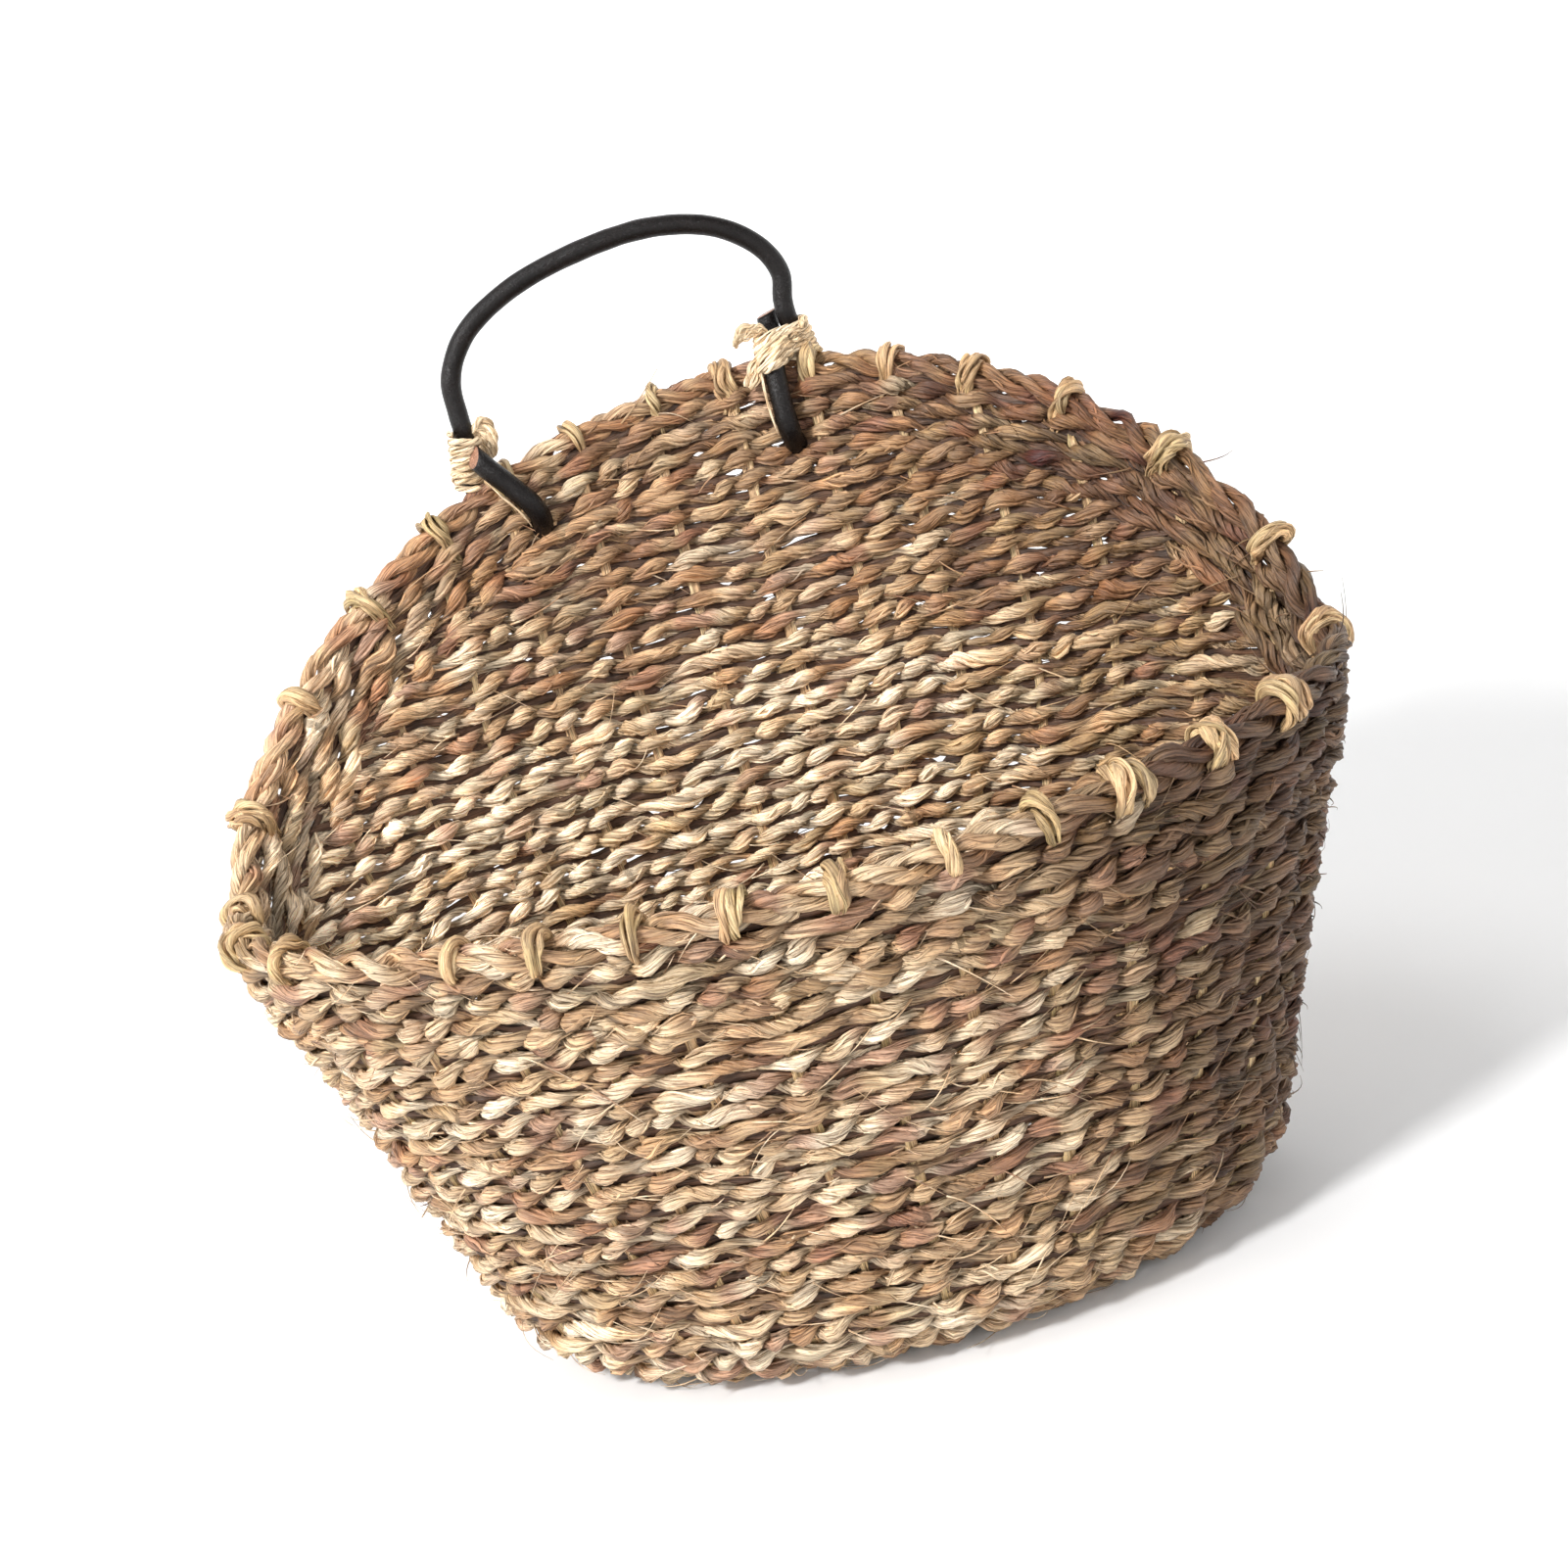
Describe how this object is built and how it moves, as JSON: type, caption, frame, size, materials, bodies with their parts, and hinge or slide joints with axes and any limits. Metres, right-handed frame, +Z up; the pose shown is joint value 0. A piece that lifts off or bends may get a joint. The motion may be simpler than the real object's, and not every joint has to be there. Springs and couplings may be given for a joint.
{
  "type": "seagrass storage basket",
  "caption": "Oval woven seagrass basket with a low front, a high arched back, a rope border, and a leather loop handle bound to the back rim with twine.",
  "frame": {"origin": "centre of the base's underside, on the surface that the basket stands on", "axes": "+Z up, -Y towards the low open front, +X to the right seen from the front"},
  "size_m": [0.3572, 0.2366, 0.341],
  "materials": {
    "seagrass": "twisted seagrass cord, pale straw with brown streaks",
    "seagrass_band": "thicker reddish-brown seagrass cord",
    "straw": "greenish-yellow straw bundle",
    "twine": "pale seagrass twine",
    "leather": "round leather cord, near-black brown, satin"
  },
  "bodies": {
    "basket": {"base_mat": "seagrass", "stake_01": "straw", "stake_02": "straw", "stake_03": "straw", "stake_04": "straw", "stake_05": "straw", "stake_06": "straw", "stake_07": "straw", "stake_08": "straw", "stake_09": "straw", "stake_10": "straw", "stake_11": "straw", "stake_12": "straw", "stake_13": "straw", "stake_14": "straw", "stake_15": "straw", "stake_16": "straw", "stake_17": "straw", "stake_18": "straw", "stake_19": "straw", "stake_20": "straw", "stake_21": "straw", "stake_22": "straw", "stake_23": "straw", "stake_24": "straw", "stake_25": "straw", "stake_26": "straw", "stake_27": "straw", "stake_28": "straw", "stake_29": "straw", "stake_30": "straw", "weft_foot_ring": "seagrass", "weft_ring_1": "seagrass", "weft_ring_2": "seagrass", "arch_row_1": "seagrass", "arch_row_2": "seagrass", "arch_row_3": "seagrass", "arch_row_4": "seagrass", "rim_band": "seagrass_band", "rim_border": "seagrass_band", "handle_end_left": "leather", "handle_end_right": "leather", "binding_left": "twine", "binding_right": "twine"},
    "handle": {"handle_loop": "leather"}
  },
  "joints": [
    {"name": "handle_fold", "type": "hinge", "parent": "basket", "child": "handle", "pos_m": [-0.018, 0.11503, 0.29825], "axis": [0.9929, 0.0954, 0.0709], "range_deg": [-75, 75]}
  ]
}
